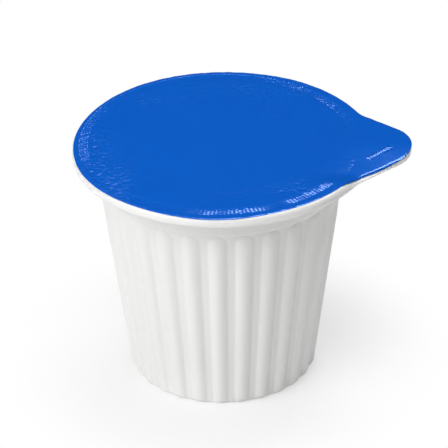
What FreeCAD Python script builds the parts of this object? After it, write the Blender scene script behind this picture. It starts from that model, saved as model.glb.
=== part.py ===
import FreeCAD, Part
import os
from math import acos, asin, cos, degrees, hypot, radians, sin, tan

import Sketcher

# A single-serve coffee creamer cup: a drafted, ribbed plastic cup with a smooth collar and a thick
# flange that runs out into a pointed tab, shut by a die-cut foil lid that is sealed to the flange.
# The cup stands on z = 0 with its axis on Z, and the tab points along +X.  Sizes in mm and degrees.
SIZES = [
    ("cup_height", 32.5, "base to the sealing face of the flange"),
    ("cup_diameter", 32.8, "outside of the wall, just under the flange"),
    ("wall_draft", 7.9, "lean of the wall, each side"),
    ("flange_overhang", 2.88, "flange beyond the wall"),
    ("flange_depth", 1.35, "thickness of the flange and its tab"),
    ("flange_round", 0.35, "round on the lower edge of the flange"),
    ("flange_top_round", 0.3, "round on the upper edge of the flange, outside the foil"),
    ("collar_fillet", 0.5, "fillet between the flange and the collar"),
    ("collar_depth", 3.2, "plain wall between the flange and the ribs"),
    ("collar_round", 0.15, "round on the lower edge of the collar"),
    ("rib_count", 27, "ribs round the wall"),
    ("rib_phase", 3.3, "turn of the first rib from the tab"),
    ("rib_width", 2.5, "width of a rib at its round top end"),
    ("rib_rise", 0.45, "height of a rib over the wall between, at its top end"),
    ("rib_gap", 0.2, "collar's lower edge to the top of a rib"),
    ("foot_round", 1.0, "round between the wall and the base"),
    ("foot_ring", 1.6, "width of the ring that the cup stands on"),
    ("base_rise", 0.8, "height of the dome in the base"),
    ("shoulder_drop", 1.0, "centre of each shoulder arc beyond the axis, which widens the rim to the tab"),
    ("tab_length", 5.5, "tip of the tab beyond the flange"),
    ("tab_tip_radius", 3.7, "round tip of the tab"),
    ("tab_flank", 41.0, "lean of the tab's sides to its own axis"),
    ("tab_blend", 4.3, "hollow curve from the shoulders into the tab's sides"),
    ("lid_thickness", 0.1, "foil with its sealing lacquer"),
    ("lid_inset", 0.35, "edge of the flange left bare round the foil"),
    ("lid_overlap", 0.15, "foil beyond the tip of the plastic tab"),
    ("seal_inset", 0.73, "edge of the foil to the pressed sealing band"),
    ("seal_width", 1.3, "width of the sealing band"),
    ("seal_depth", 0.04, "depth of the sealing band"),
]

# Places that several features share, as formulas on the sheet.
WALL = "Sizes.cup_diameter / 2"
FLANGE = f"({WALL} + Sizes.flange_overhang)"
UNDERSIDE = "(Sizes.cup_height - Sizes.flange_depth)"
COLLAR_EDGE = f"({UNDERSIDE} - Sizes.collar_depth)"
TAB_REACH = f"({FLANGE} + Sizes.tab_length)"
FOIL_RIM = f"({FLANGE} - Sizes.lid_inset)"
FOIL_TOP = "(Sizes.cup_height + Sizes.lid_thickness)"
APEX_DEPTH = f"({WALL} / tan(Sizes.wall_draft) - {UNDERSIDE})"
COLLAR_EDGE_RADIUS = f"({WALL} - Sizes.collar_depth * tan(Sizes.wall_draft))"
SHARP_FOOT = f"({WALL} - {UNDERSIDE} * tan(Sizes.wall_draft))"
FOOT = f"({SHARP_FOOT} - Sizes.foot_round * tan(45 - Sizes.wall_draft / 2))"
RIB_RADIUS = "((Sizes.rib_width ^ 2 / 4 + Sizes.rib_rise ^ 2) / (2 * Sizes.rib_rise))"
RIB_TOP = f"({COLLAR_EDGE} - Sizes.rib_gap - Sizes.rib_width / 2)"
ORIGIN = (-1, 1)
H_AXIS, V_AXIS = -1, -2
START, END, CENTRE = 1, 2, 3
EDGE_SLACK = 1e-3

doc = FreeCAD.newDocument("creamer_cup")
sheet = doc.addObject("Spreadsheet::Sheet", "Sizes")
for row, (alias, value, note) in enumerate(SIZES, start=1):
    sheet.set(f"A{row}", alias)
    sheet.set(f"B{row}", str(value))
    sheet.setAlias(f"B{row}", alias)
    sheet.set(f"C{row}", note)
doc.recompute()


def size(formula):
    """The present value of a formula on the sheet."""
    return float(sheet.evalExpression(formula))


class Drawing:
    """A sketch on one of a body's origin planes, whose sizes follow the sheet."""

    def __init__(self, body, name, plane):
        self.sketch = body.newObject("Sketcher::SketchObject", name)
        support = next(f for f in body.Origin.OriginFeatures if f.Role == plane)
        self.sketch.AttachmentSupport = (support, [""])
        self.sketch.MapMode = "FlatFace"

    def line(self, start, end, construction=False):
        segment = Part.LineSegment(FreeCAD.Vector(*start, 0), FreeCAD.Vector(*end, 0))
        return self.sketch.addGeometry(segment, construction)

    def arc(self, centre, radius, first, last):
        circle = Part.Circle(FreeCAD.Vector(*centre, 0), FreeCAD.Vector(0, 0, 1), radius)
        return self.sketch.addGeometry(Part.ArcOfCircle(circle, radians(first), radians(last)))

    def point(self, place):
        return self.sketch.addGeometry(Part.Point(FreeCAD.Vector(*place, 0)), True)

    def rule(self, kind, *items):
        return self.sketch.addConstraint(Sketcher.Constraint(kind, *items))

    def measure(self, kind, *items, formula):
        index = self.rule(kind, *items, size(formula))
        self.sketch.setExpression(f"Constraints[{index}]", formula)

    def place(self, geometry, end, across=None, up=None):
        """Ties a point of the sketch to formulas for its distances from the origin."""
        if across:
            self.measure("DistanceX", *ORIGIN, geometry, end, formula=across)
        if up:
            self.measure("DistanceY", *ORIGIN, geometry, end, formula=up)

    def apex(self):
        """The point under the cup, on its axis, where the lines of the wall meet."""
        apex = self.point((0, -size(APEX_DEPTH)))
        self.rule("PointOnObject", apex, START, V_AXIS)
        self.measure("DistanceY", apex, START, *ORIGIN, formula=APEX_DEPTH)
        return apex


def wall_radius(height):
    """Outside radius of the wall over the ribs at a height."""
    return size(WALL) - (size(UNDERSIDE) - height) * tan(radians(size("Sizes.wall_draft")))


def turned(body, name, kind, drawing, axis="V_Axis"):
    """A full turn of a sketch about one of its axes, added or cut."""
    feature = body.newObject(kind, name)
    feature.Profile = drawing.sketch
    feature.ReferenceAxis = (drawing.sketch, [axis])
    feature.Angle = 360
    drawing.sketch.Visibility = False
    doc.recompute()
    return feature


def core_profile(body):
    """Half section of the cup without its ribs and flange: base, wall and collar."""
    drawing = Drawing(body, "core_profile", "XZ_Plane")
    edge, under = size(COLLAR_EDGE), size(UNDERSIDE)
    foot, wall, edge_radius = size(FOOT), size(WALL), size(COLLAR_EDGE_RADIUS)
    inner = edge_radius - size("Sizes.rib_rise")
    foot_round, collar_round = size("Sizes.foot_round"), size("Sizes.collar_round")
    draft = size("Sizes.wall_draft")

    base = drawing.line((0, 0), (foot, 0))
    foot_arc = drawing.arc((foot, foot_round), foot_round, -90, -draft)
    wall_line = drawing.line((foot + foot_round, foot_round), (inner, edge))
    step = drawing.line((inner, edge), (edge_radius - collar_round, edge))
    corner = drawing.arc((edge_radius - collar_round, edge + collar_round), collar_round, -90, -draft)
    collar = drawing.line((edge_radius, edge + collar_round), (wall, under))
    face = drawing.line((wall, under), (0, under))
    axis = drawing.line((0, under), (0, 0))
    apex = drawing.apex()
    sharp = drawing.point((edge_radius, edge))

    drawing.rule("Coincident", base, START, *ORIGIN)
    drawing.rule("Tangent", base, END, foot_arc, START)
    drawing.rule("Tangent", foot_arc, END, wall_line, START)
    drawing.rule("Coincident", wall_line, END, step, START)
    drawing.rule("Tangent", step, END, corner, START)
    drawing.rule("Tangent", corner, END, collar, START)
    drawing.rule("Coincident", collar, END, face, START)
    drawing.rule("Coincident", face, END, axis, START)
    drawing.rule("Coincident", axis, END, base, START)
    for level in (base, step, face):
        drawing.rule("Horizontal", level)
    drawing.rule("Vertical", axis)
    for lean in (wall_line, collar):
        drawing.rule("PointOnObject", apex, START, lean)
    for line in (step, collar):
        drawing.rule("PointOnObject", sharp, START, line)
    drawing.place(collar, END, across=WALL, up=UNDERSIDE)
    drawing.place(base, END, across=FOOT)
    drawing.place(sharp, START, up=COLLAR_EDGE)
    drawing.measure("DistanceX", step, START, sharp, START, formula="Sizes.rib_rise")
    drawing.measure("Radius", corner, formula="Sizes.collar_round")
    return drawing


def rib_profile(body):
    """Half section of one rib: a slim cone along the wall with a ball end under the collar."""
    drawing = Drawing(body, "rib_profile", "XZ_Plane")
    drawing.sketch.AttachmentOffset = FreeCAD.Placement(
        FreeCAD.Vector(), FreeCAD.Rotation(FreeCAD.Vector(0, 1, 0), size("Sizes.rib_phase")))
    drawing.sketch.setExpression("AttachmentOffset.Rotation.Angle", "Sizes.rib_phase")
    radius, top = size(RIB_RADIUS), size(RIB_TOP)
    draft = size("Sizes.wall_draft")
    depth = size("Sizes.foot_round")
    shrink = (size(APEX_DEPTH) - depth) / (size(APEX_DEPTH) + top)
    centre = (wall_radius(top) - radius, top)
    pole = (centre[0] + radius * sin(radians(draft)), top + radius)
    heel = (centre[0] * shrink, -depth)
    toe = (heel[0] + radius * shrink, -depth)

    spine = drawing.line(heel, pole, construction=True)
    closing = drawing.line(heel, pole)
    ball = drawing.arc(centre, radius, -draft, 90 - draft)
    crest = drawing.line((centre[0] + radius, top), toe)
    bottom = drawing.line(toe, heel)
    apex = drawing.apex()
    shoulder = drawing.point((size(WALL), size(UNDERSIDE)))

    drawing.rule("Coincident", spine, START, closing, START)
    drawing.rule("Coincident", spine, END, closing, END)
    drawing.rule("Coincident", closing, END, ball, END)
    drawing.rule("Tangent", ball, START, crest, START)
    drawing.rule("Coincident", crest, END, bottom, START)
    drawing.rule("Coincident", bottom, END, closing, START)
    drawing.rule("Perpendicular", bottom, closing)
    drawing.rule("PointOnObject", ball, CENTRE, closing)
    drawing.rule("PointOnObject", apex, START, closing)
    drawing.rule("PointOnObject", apex, START, crest)
    drawing.rule("PointOnObject", shoulder, START, crest)
    drawing.place(shoulder, START, across=WALL, up=UNDERSIDE)
    drawing.measure("Radius", ball, formula=RIB_RADIUS)
    drawing.place(ball, CENTRE, up=RIB_TOP)
    drawing.measure("DistanceY", closing, START, *ORIGIN, formula="Sizes.foot_round")
    return drawing


def foot_profile(body):
    """What lies outside the round foot: it ends the ribs so that they fade into the base."""
    drawing = Drawing(body, "foot_profile", "XZ_Plane")
    foot, radius, draft = size(FOOT), size("Sizes.foot_round"), size("Sizes.wall_draft")
    clear, low = size(FLANGE), -2 * radius
    touch = (foot + radius * cos(radians(draft)), radius - radius * sin(radians(draft)))

    base = drawing.line((0, 0), (foot, 0))
    foot_arc = drawing.arc((foot, radius), radius, -90, -draft)
    out = drawing.line(touch, (clear, touch[1]))
    down = drawing.line((clear, touch[1]), (clear, low))
    back = drawing.line((clear, low), (0, low))
    axis = drawing.line((0, low), (0, 0))
    apex = drawing.apex()
    lean = drawing.line(touch, (wall_radius(2 * radius), 2 * radius), construction=True)

    drawing.rule("Coincident", base, START, *ORIGIN)
    drawing.rule("Tangent", base, END, foot_arc, START)
    drawing.rule("Tangent", foot_arc, END, lean, START)
    drawing.rule("Coincident", foot_arc, END, out, START)
    drawing.rule("Coincident", out, END, down, START)
    drawing.rule("Coincident", down, END, back, START)
    drawing.rule("Coincident", back, END, axis, START)
    drawing.rule("Coincident", axis, END, base, START)
    for level in (base, out, back):
        drawing.rule("Horizontal", level)
    for upright in (down, axis):
        drawing.rule("Vertical", upright)
    drawing.rule("PointOnObject", apex, START, lean)
    drawing.place(base, END, across=FOOT)
    drawing.measure("Radius", foot_arc, formula="Sizes.foot_round")
    drawing.place(down, START, across=FLANGE)
    drawing.measure("DistanceY", back, START, *ORIGIN, formula="2 * Sizes.foot_round")
    drawing.measure("DistanceY", lean, START, lean, END, formula="Sizes.foot_round")
    return drawing


def dome_profile(body):
    """Half section of the shallow dome inside the ring that the cup stands on."""
    drawing = Drawing(body, "dome_profile", "XZ_Plane")
    ring = f"({FOOT} - Sizes.foot_ring)"
    radius, rise = size(ring), size("Sizes.base_rise")
    sphere = (radius ** 2 + rise ** 2) / (2 * rise)
    half_angle = 90 - degrees(asin(radius / sphere))
    base = drawing.line((0, 0), (radius, 0))
    dome = drawing.arc((0, rise - sphere), sphere, half_angle, 90)
    axis = drawing.line((0, rise), (0, 0))
    drawing.rule("Coincident", base, START, *ORIGIN)
    drawing.rule("Coincident", base, END, dome, START)
    drawing.rule("Coincident", dome, END, axis, START)
    drawing.rule("Coincident", axis, END, base, START)
    drawing.rule("Horizontal", base)
    drawing.rule("Vertical", axis)
    drawing.rule("PointOnObject", dome, CENTRE, V_AXIS)
    drawing.place(base, END, across=ring)
    drawing.place(axis, START, up="Sizes.base_rise")
    return drawing


def tab_outline(body, name, rim, reach, height):
    """Rim of a given radius, widened by shoulder arcs into a tab of a given reach, at a height.

    Going round from the back: half circle, shoulder, hollow blend, flank, tip, and the same back.
    """
    drawing = Drawing(body, name, "XY_Plane")
    drawing.sketch.setExpression("AttachmentOffset.Base.z", height)
    tip_centre = f"({reach} - Sizes.tab_tip_radius)"
    radius, tip, blend = size(rim), size("Sizes.tab_tip_radius"), size("Sizes.tab_blend")
    drop, flank, centre = size("Sizes.shoulder_drop"), size("Sizes.tab_flank"), size(tip_centre)
    wide = radius + drop
    normal = 90 - flank
    across, up = cos(radians(normal)), sin(radians(normal))
    swing = normal - degrees(acos((centre * across + tip + blend + drop * up) / (wide + blend)))
    hollow = ((wide + blend) * cos(radians(swing)), (wide + blend) * sin(radians(swing)) - drop)
    outer = (centre + tip * across, tip * up)
    inner = (hollow[0] - blend * across, hollow[1] - blend * up)

    back = drawing.arc((0, 0), radius, 90, 270)
    upper_shoulder = drawing.arc((0, -drop), wide, swing, 90)
    upper_blend = drawing.arc(hollow, blend, 180 + swing, 180 + normal)
    upper_flank = drawing.line(inner, outer)
    end = drawing.arc((centre, 0), tip, -normal, normal)
    lower_flank = drawing.line((outer[0], -outer[1]), (inner[0], -inner[1]))
    lower_blend = drawing.arc((hollow[0], -hollow[1]), blend, 180 - normal, 180 - swing)
    lower_shoulder = drawing.arc((0, drop), wide, -90, -swing)

    drawing.rule("Coincident", back, CENTRE, *ORIGIN)
    drawing.rule("Tangent", back, START, upper_shoulder, END)
    drawing.rule("Tangent", upper_shoulder, START, upper_blend, START)
    drawing.rule("Tangent", upper_blend, END, upper_flank, START)
    drawing.rule("Tangent", upper_flank, END, end, END)
    drawing.rule("Tangent", end, START, lower_flank, START)
    drawing.rule("Tangent", lower_flank, END, lower_blend, START)
    drawing.rule("Tangent", lower_blend, END, lower_shoulder, END)
    drawing.rule("Tangent", lower_shoulder, START, back, END)
    drawing.rule("PointOnObject", end, CENTRE, H_AXIS)
    for shoulder in (upper_shoulder, lower_shoulder):
        drawing.rule("PointOnObject", shoulder, CENTRE, V_AXIS)
    drawing.rule("Symmetric", upper_flank, START, lower_flank, END, H_AXIS)
    drawing.measure("Radius", back, formula=rim)
    drawing.measure("Radius", end, formula="Sizes.tab_tip_radius")
    drawing.measure("Radius", upper_blend, formula="Sizes.tab_blend")
    drawing.measure("DistanceY", upper_shoulder, CENTRE, *ORIGIN, formula="Sizes.shoulder_drop")
    drawing.measure("DistanceY", *ORIGIN, lower_shoulder, CENTRE, formula="Sizes.shoulder_drop")
    drawing.place(end, CENTRE, across=tip_centre)
    drawing.measure("Angle", end, formula="180 - 2 * Sizes.tab_flank")
    return drawing


def seal_profile(body):
    """Half section of the shallow band that the sealing ring presses into the foil."""
    drawing = Drawing(body, "seal_profile", "XZ_Plane")
    outer = f"({FOIL_RIM} - Sizes.seal_inset)"
    inner = f"({outer} - Sizes.seal_width)"
    far, near, top, depth = size(outer), size(inner), size(FOIL_TOP), size("Sizes.seal_depth")
    floor = drawing.line((near + depth, top - depth), (far - depth, top - depth))
    out = drawing.line((far - depth, top - depth), (far, top))
    mouth = drawing.line((far, top), (near, top))
    back = drawing.line((near, top), (near + depth, top - depth))
    for first, second in ((floor, out), (out, mouth), (mouth, back), (back, floor)):
        drawing.rule("Coincident", first, END, second, START)
    for level in (floor, mouth):
        drawing.rule("Horizontal", level)
    drawing.place(mouth, START, across=outer, up=FOIL_TOP)
    drawing.place(mouth, END, across=inner)
    drawing.measure("DistanceY", floor, END, mouth, START, formula="Sizes.seal_depth")
    drawing.measure("DistanceX", floor, END, mouth, START, formula="Sizes.seal_depth")
    drawing.measure("DistanceX", mouth, END, floor, START, formula="Sizes.seal_depth")
    return drawing


def padded(body, name, drawing, thickness):
    """A flat layer with a sketch's outline and a thickness from the sheet."""
    pad = body.newObject("PartDesign::Pad", name)
    pad.Profile = drawing.sketch
    pad.setExpression("Length", thickness)
    drawing.sketch.Visibility = False
    doc.recompute()
    return pad


def rounded(body, name, base, radius, level, chosen):
    """A round of a radius from the sheet on the level edges of the flange that are chosen."""
    names = []
    for number, edge in enumerate(base.Shape.Edges, start=1):
        middle = edge.valueAt((edge.FirstParameter + edge.LastParameter) / 2)
        low, high = (abs(z - size(level)) < EDGE_SLACK for z in (edge.BoundBox.ZMin, edge.BoundBox.ZMax))
        if low and high and chosen(hypot(middle.x, middle.y)):
            names.append(f"Edge{number}")
    fillet = body.newObject("PartDesign::Fillet", name)
    fillet.Base = (base, names)
    fillet.setExpression("Radius", radius)
    doc.recompute()
    return fillet


def make_cup():
    """The plastic cup, filled and shut: one closed solid."""
    body = doc.addObject("PartDesign::Body", "cup")
    turned(body, "core", "PartDesign::Revolution", core_profile(body))
    plate = tab_outline(body, "flange_outline", FLANGE, TAB_REACH, UNDERSIDE)
    flange = padded(body, "flange", plate, "Sizes.flange_depth")
    half_way = size(WALL) + size("Sizes.flange_overhang") / 2
    lower_edge = rounded(
        body, "lower_edge", flange, "Sizes.flange_round", UNDERSIDE, lambda r: r > half_way)
    upper_edge = rounded(
        body, "upper_edge", lower_edge, "Sizes.flange_top_round", "Sizes.cup_height", lambda r: r > half_way)
    rounded(body, "neck", upper_edge, "Sizes.collar_fillet", UNDERSIDE, lambda r: r < half_way)
    rib = turned(body, "rib", "PartDesign::Revolution", rib_profile(body), axis="Axis0")
    ribs = body.newObject("PartDesign::PolarPattern", "ribs")
    ribs.Originals = [rib]
    ribs.Axis = (next(f for f in body.Origin.OriginFeatures if f.Role == "Z_Axis"), [""])
    ribs.Angle = 360
    ribs.setExpression("Occurrences", "Sizes.rib_count")
    body.Tip = ribs
    doc.recompute()
    turned(body, "foot", "PartDesign::Groove", foot_profile(body))
    turned(body, "dome", "PartDesign::Groove", dome_profile(body))
    return body


def make_lid():
    """The foil lid with its pull tab and pressed sealing band, lying on the flange."""
    body = doc.addObject("PartDesign::Body", "lid")
    reach = f"({TAB_REACH} + Sizes.lid_overlap)"
    outline = tab_outline(body, "lid_outline", FOIL_RIM, reach, "Sizes.cup_height")
    padded(body, "foil", outline, "Sizes.lid_thickness")
    turned(body, "seal", "PartDesign::Groove", seal_profile(body))
    return body


def check(parts):
    """Stops on a failed feature or a shape that isn't one sound solid."""
    for item in doc.Objects:
        if {"Invalid", "Error"} & set(item.State):
            raise RuntimeError(f"{item.Label} failed: {item.State}")
    for part in parts:
        shape = part.Shape
        if shape.isNull() or not shape.isValid() or len(shape.Solids) != 1:
            raise RuntimeError(f"{part.Label} isn't one sound solid")


parts = [make_cup(), make_lid()]
doc.recompute()
check(parts)
os.makedirs("parts", exist_ok=True)
for part in parts:
    part.Shape.exportStep(f"parts/{part.Label}.step")
    box = part.Shape.optimalBoundingBox()
    print(f"{part.Label}: {part.Shape.Volume:.1f} mm3, {len(part.Shape.Faces)} faces,"
          f" x {box.XMin:.2f}..{box.XMax:.2f}, y {box.YMin:.2f}..{box.YMax:.2f},"
          f" z {box.ZMin:.2f}..{box.ZMax:.2f}")
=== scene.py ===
from math import acos, atan2, cos, degrees, exp, hypot, pi, radians, sin, sqrt, tan

import bpy
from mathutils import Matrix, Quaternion, Vector


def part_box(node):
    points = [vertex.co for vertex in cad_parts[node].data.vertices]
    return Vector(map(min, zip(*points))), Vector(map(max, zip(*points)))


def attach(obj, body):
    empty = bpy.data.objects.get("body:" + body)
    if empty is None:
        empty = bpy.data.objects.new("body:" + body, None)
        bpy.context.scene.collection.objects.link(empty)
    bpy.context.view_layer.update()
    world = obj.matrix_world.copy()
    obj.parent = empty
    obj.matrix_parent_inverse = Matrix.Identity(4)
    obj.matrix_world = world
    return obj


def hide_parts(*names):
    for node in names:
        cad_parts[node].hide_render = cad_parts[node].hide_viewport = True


# A single-serve coffee creamer cup: a ribbed white cup with a tabbed flange, and its blue foil lid.
# Lengths are in metres, in the CAD frame: the cup stands on z = 0 and the tab points along +X. The
# near side of the tab is the one with y below 0.
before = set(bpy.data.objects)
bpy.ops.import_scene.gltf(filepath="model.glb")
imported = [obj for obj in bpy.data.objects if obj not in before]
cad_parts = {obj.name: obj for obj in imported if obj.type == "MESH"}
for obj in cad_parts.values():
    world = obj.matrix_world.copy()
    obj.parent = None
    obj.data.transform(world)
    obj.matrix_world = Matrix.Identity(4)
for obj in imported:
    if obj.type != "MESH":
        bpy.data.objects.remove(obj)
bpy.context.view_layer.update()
scene = bpy.context.scene

MM = 0.001

# Sizes that the two CAD solids give.
cup_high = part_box("cup")[1]
lid_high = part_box("lid")[1]
TAB_REACH, FLANGE, CUP_TOP = cup_high
FOIL_REACH, FOIL_RIM, FOIL_TOP = lid_high

# The wall is a cone that is WALL in radius at the flange's underside. A plain collar tops the ribs,
# and the last two lengths place the inner corner under its edge.
WALL = 16.4 * MM
DRAFT = radians(7.9)
UNDERSIDE = CUP_TOP - 1.35 * MM
APEX_DEPTH = WALL / tan(DRAFT) - UNDERSIDE
COLLAR_EDGE = UNDERSIDE - 3.2 * MM
COLLAR_ROUND = 0.18 * MM
CORNER_OUT, CORNER_DOWN = 0.04 * MM, 0.02 * MM

# The flange: the round under it at the wall, its lower round with the turn of that round's first row,
# its upper round, which is a little higher than wide, and the flat strip of its top beside that.
NECK_ROUND = 0.5 * MM
LOWER_ROUND = 0.6 * MM
LOWER_FIRST = radians(-75)
UPPER_WIDE, UPPER_HIGH = 0.5 * MM, 0.6 * MM
TOP_STRIP = 0.4 * MM

# The ribs: each ends in an arched top just under the collar, and has a soft root. Over its last
# RIB_FADE below the arch its height goes down by the share RIB_FADED.
RIBS = 27
RIB_TURN = radians(3.3)
RIB_WIDTH = 2.5 * MM
RIB_LEAST_WIDTH = 0.05 * MM
RIB_RISE = 0.45 * MM
RIB_GAP = 0.2 * MM
RIB_FADE = 3.0 * MM
RIB_FADED = 0.35
RIB_SOFTNESS = 0.2
ARCH_START = COLLAR_EDGE - RIB_GAP - RIB_WIDTH / 2

# The round foot with the turn of its last row, the ring it stands on, and the slightly domed base
# inside that.
FOOT_ROUND = 1.0 * MM
FOOT_LAST = radians(85)
FOOT_RING = 1.6 * MM
BASE_RISE = 0.8 * MM
FOOT = WALL - UNDERSIDE * tan(DRAFT) - FOOT_ROUND * tan(radians(45) - DRAFT / 2)

# Rows of the cup's section, from the middle of its base to the middle of its top, and its columns.
BASE_ROWS, RING_ROWS, FOOT_ROWS, RIB_ROWS, ARCH_ROWS = 8, 3, 11, 34, 14
LIP_ROWS, COLLAR_ROWS, NECK_ROWS, UNDER_ROWS = 6, 7, 7, 6
LOWER_ROWS, EDGE_ROWS, UPPER_ROWS, TOP_ROWS = 6, 3, 10, 4
CUP_COLUMNS = RIBS * 24

# A row without ribs: no rise, and a half width that is only there to divide by.
NO_RIB = (0, MM)

# Half outlines of the rim: how far the shoulder's centre drops, radius of the tab's tip, turn of its
# flank, and radius of the hollow between flank and shoulder.
FLANGE_FAR = (1.0 * MM, 3.7 * MM, radians(41), 4.3 * MM)
FLANGE_NEAR = (0.9 * MM, 4.7 * MM, radians(42.5), 3.7 * MM)
FOIL_FAR = (1.25 * MM, 4.9 * MM, radians(37.8), 3.95 * MM)
FOIL_NEAR = (0.8 * MM, 4.9 * MM, radians(37.8), 7.8 * MM)
TIP_STEPS, FLANK_STEPS, HOLLOW_STEPS, SHOULDER_STEPS, BACK_STEPS = 40, 12, 24, 80, 120

# The foil lies a little off centre on the flange and isn't cut quite round: each place where it
# strays has a bearing and a reach in degrees, and how far the edge stands out there, or in.
FOIL = 0.06 * MM
FACE = FOIL_TOP - 0.02 * MM
FOIL_SHIFT = (-0.1 * MM, 0.15 * MM)
FOIL_STRAY = ((60, 18, 0.2 * MM), (153, 14, -0.1 * MM), (207, 16, 0.22 * MM), (270, 13, 0.3 * MM))

# The foil's edge rolls down over the flange's upper round all the way, by ROLL_DROP at most.
ROLL_WIDE = 0.28 * MM
ROLL_DROP = 0.068 * MM
ROLL_LEAST = 0.4

# Beside the near side of the tab the foil's edge folds down: the fold's width and depth, the foil it
# takes up, how far inwards the foil gives way for it, and how far it stays inside the flange.
FOLD_WIDE = 0.42 * MM
FOLD_DEEP = 0.2 * MM
FOLD_WRAP = 0.51 * MM
FOLD_REACH = 2.4 * MM
FOLD_CLEAR = 0.12 * MM
FOIL_TIP = FOIL_REACH - FOIL_SHIFT[0] - FOLD_CLEAR

# There the tab droops as well, foil and flange together, in a strip DROOP_WIDE from its edge. Only
# the part of the flange over DROOP_FROM moves, and it gives the fold FOLD_ROOM more.
DROOP = 0.55 * MM
DROOP_WIDE = 5.0 * MM
DROOP_CURVE = 1.25
DROOP_FROM = UNDERSIDE + 0.3 * MM
FOLD_ROOM = 0.28 * MM

# Where that near side is, in parts of the rim's length from the tip: it starts on the shoulder, and
# the fold and the droop ease off towards the tip.
NEAR_FROM, NEAR_FULL = -0.116, -0.084
FOLD_EASE, FOLD_END = -0.065, -0.015
DROOP_EASE, DROOP_END = -0.065, 0.005

# Rows of the foil's section: its round face, the fan that spreads to the tabbed rim, the fold, and
# its underside, which has radii near its middle and shares of the fold near its edge.
FACE_RADII = (0, 5 * MM, 9 * MM, 12 * MM, 13.2 * MM)
FAN_START = 14.0 * MM
BAND_START = 16.5 * MM
FAN_ROWS, BAND_ROWS, SEAL_ROWS, FOLD_ROWS = 8, 2, 20, 13
UNDER_SHARES = (0, 0.2, 0.5, 1)
UNDER_RADII = (16 * MM, 8 * MM, 0)
FOIL_COLUMNS = 1728

# The band that the sealing ring pressed into the foil, a little off centre.
SEAL_SHIFT = (-0.2 * MM, 0.25 * MM, 0)
SEAL_INNER = 16.9 * MM
SEAL_OUTER = 18.3 * MM
SEAL_STEP = 0.15 * MM
SEAL_DEPTH = 0.03 * MM

# Its knurls. Real ones are an estimated 0.26 mm apart or finer, which is too fine to show well, so
# they are drawn 0.36 to 0.72 mm apart. At the front they are slanting ridges, steep on one side, whose
# long faces all look the same way and so catch the light together.
KNURLS = 216
KNURL_HEIGHT = 0.045 * MM
KNURL_START = 17.05 * MM
KNURL_ROW = 0.72 * MM
RIDGE_ROW = 0.36 * MM
RIDGE_STEEP = 0.25
RIDGE_FACES = radians(-60)
RIDGE_NOTCH = 0.5
RIDGES_FROM, RIDGES_FULL = -6 * MM, -10 * MM

# How hard the ring pressed: a little all round, in patches, and more near a few places, each with a
# bearing and a reach in degrees, and a force.
HARD_PRESSED = ((-46, 13, 1.0), (-84, 16, 0.9), (172, 22, 0.8), (50, 25, 0.4))
LEAST_FORCE = 0.15
LEAST_PATCH = 0.6

# Short creases that run in from the band: how many fit round it, how fast they change on their way
# in, where they begin, are full and stop, what is left of them in the band, and how strong the noise
# that gathers them in places is where they are missing and where they are full.
CREASE_HEIGHT = 0.07 * MM
CREASE_TURNS = 26.0
CREASE_CHANGE = 0.35 / MM
CREASE_BEGIN, CREASE_FULL, CREASE_STOP = 9.0 * MM, 16.5 * MM, 17.2 * MM
CREASE_LEFT = 0.15
CREASE_NONE, CREASE_MOST = 0.4, 0.62

# Each noise has a seed, and spans about this range.
ROLL_SEED, PATCH_SEED, CREASE_SEED, PLACE_SEED = 3.0, 2.0, 5.0, 9.0
NOISE_LOW, NOISE_HIGH = 0.35, 0.65

# Points nearer than this are made one, which closes the seam and the poles.
CLOSING = 0.0005 * MM


def linear(colour):
    """An sRGB hex colour as the linear colour that a socket takes."""
    parts = [int(colour[i:i + 2], 16) / 255 for i in (1, 3, 5)]
    return [p / 12.92 if p <= 0.04045 else ((p + 0.055) / 1.055) ** 2.4 for p in parts] + [1]


def add(tree, kind, inputs=None, **settings):
    """Adds a node with its settings, and returns it.

    An input is a value, another node's output, or a node, which stands for its first output. Map
    Range takes the value, then the range that it comes from and the one that it goes to.
    """
    node = tree.nodes.new(kind)
    for name, value in settings.items():
        setattr(node, name, value)
    for place, value in (inputs or {}).items():
        if isinstance(value, bpy.types.Node):
            value = value.outputs[0]
        if isinstance(value, bpy.types.NodeSocket):
            tree.links.new(value, node.inputs[place])
        else:
            node.inputs[place].default_value = value
    return node


# Outlines and sections ---------------------------------------------------------------------------


def spread(first, last, count):
    """Even steps from first up to, but without, last."""
    return [first + (last - first) * i / count for i in range(count)]


def arc(centre, radius, first, last, count):
    """Points on an arc, without its last point."""
    return [(centre[0] + radius * cos(t), centre[1] + radius * sin(t)) for t in spread(first, last, count)]


def half_outline(rim, reach, shape):
    """Half of the rim, from the tip of its tab to its back: tip, flank, hollow, shoulder and back."""
    drop, tip_radius, flank, hollow_radius = shape
    normal = radians(90) - flank
    across, up = cos(normal), sin(normal)
    wide = rim + drop
    apart = wide + hollow_radius
    tip = reach - tip_radius
    swing = normal - acos((tip * across + tip_radius + hollow_radius + drop * up) / apart)
    hollow = (apart * cos(swing), apart * sin(swing) - drop)
    outer = (tip + tip_radius * across, tip_radius * up)
    inner = (hollow[0] - hollow_radius * across, hollow[1] - hollow_radius * up)
    half = arc((tip, 0), tip_radius, 0, normal, TIP_STEPS)
    half += zip(*(spread(outer[k], inner[k], FLANK_STEPS) for k in (0, 1)))
    half += arc(hollow, hollow_radius, pi + normal, pi + swing, HOLLOW_STEPS)
    half += arc((0, -drop), wide, swing, pi / 2, SHOULDER_STEPS)
    return half + arc((0, 0), rim, pi / 2, pi, BACK_STEPS)


def stray(x, y, places):
    """A point of the rim, moved out or in where its bearing is near one of the places."""
    bearing = degrees(atan2(y, x))
    moved = 0
    for place, reach, amount in places:
        off = (bearing - place + 180) % 360 - 180
        moved += amount * exp(-0.5 * (off / reach) ** 2)
    grown = 1 + moved / hypot(x, y)
    return x * grown, y * grown


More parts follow.
